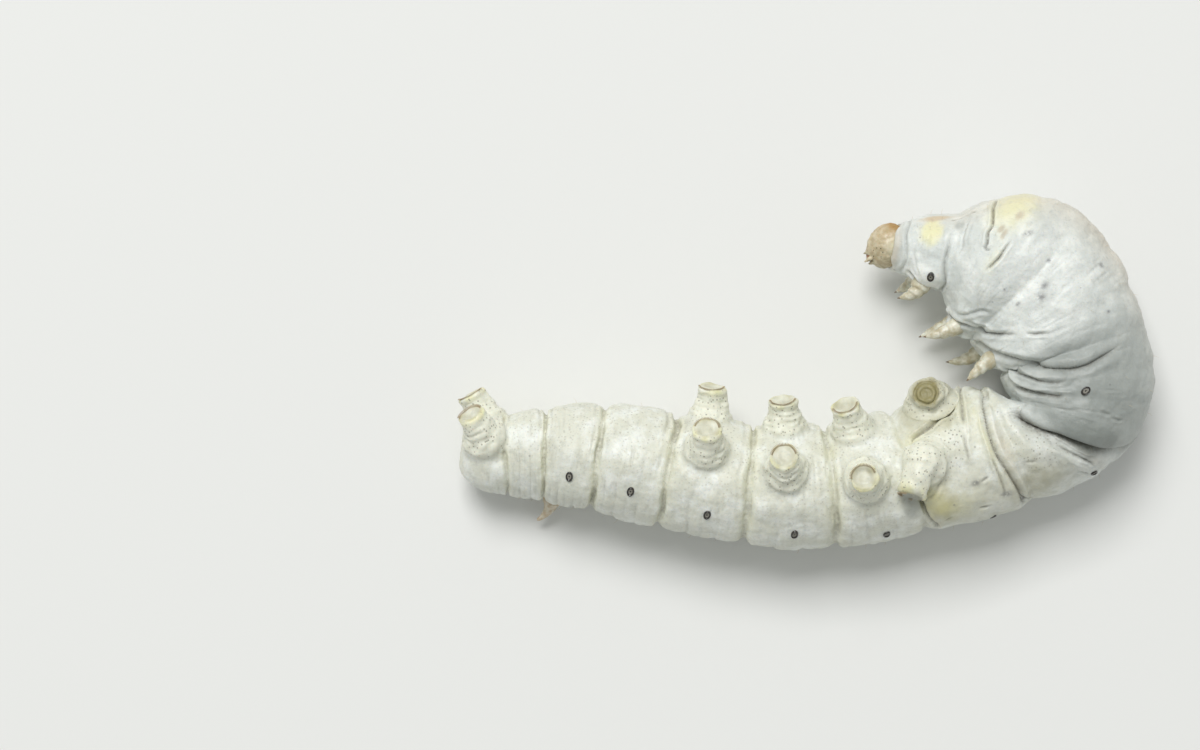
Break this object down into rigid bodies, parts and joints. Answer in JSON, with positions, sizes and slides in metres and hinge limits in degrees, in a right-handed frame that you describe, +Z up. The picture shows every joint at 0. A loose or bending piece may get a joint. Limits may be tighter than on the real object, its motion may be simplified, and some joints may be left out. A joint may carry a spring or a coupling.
{
  "type": "silkworm larva model",
  "caption": "Life-size still model of a full-grown silkworm larva, curled on its side with its belly rolled up.",
  "frame": {"origin": "on the floor, at the bottom centre of the larva's bounding box", "axes": "+Z up from the floor, +X from the tail towards the curve of the back, +Y towards the side of the plan that the head lies on"},
  "size_m": [0.0558, 0.0284, 0.0125],
  "materials": {
    "skin": "soft bluish-white to cream skin with a faint waxy sheen, fine wrinkles, yellow tints in the folds and small grey specks",
    "proleg_skin": "cream-yellow soft skin, tan on the soles",
    "leg_horn": "pale cream horn with brown claws",
    "head_horn": "tan to orange-brown horny shell, finely wrinkled",
    "tail_horn": "soft pale horn, a little browner than the skin",
    "spiracle": "black horny rim round a dark grey-brown plate",
    "mouth_horn": "dark brown hard jaws",
    "eye": "small glossy dark domes",
    "bristle": "fine pale hairs"
  },
  "bodies": {
    "root": {"head": "head_horn", "left_antenna": "head_horn", "right_antenna": "head_horn", "prothorax": "skin", "mesothorax": "skin", "metathorax": "skin", "abdomen_1": "skin", "abdomen_2": "skin", "abdomen_3": "skin", "abdomen_4": "skin", "abdomen_5": "skin", "abdomen_6": "skin", "abdomen_7": "skin", "abdomen_8": "skin", "abdomen_9": "skin", "abdomen_10": "skin", "left_foreleg": "leg_horn", "left_midleg": "leg_horn", "left_hindleg": "leg_horn", "right_foreleg": "leg_horn", "right_midleg": "leg_horn", "right_hindleg": "leg_horn", "left_proleg_1": "proleg_skin", "left_proleg_2": "proleg_skin", "left_proleg_3": "proleg_skin", "left_proleg_4": "proleg_skin", "left_clasper": "proleg_skin", "right_proleg_1": "proleg_skin", "right_proleg_2": "proleg_skin", "right_proleg_3": "proleg_skin", "right_proleg_4": "proleg_skin", "right_clasper": "proleg_skin", "caudal_horn": "tail_horn"}
  },
  "joints": []
}
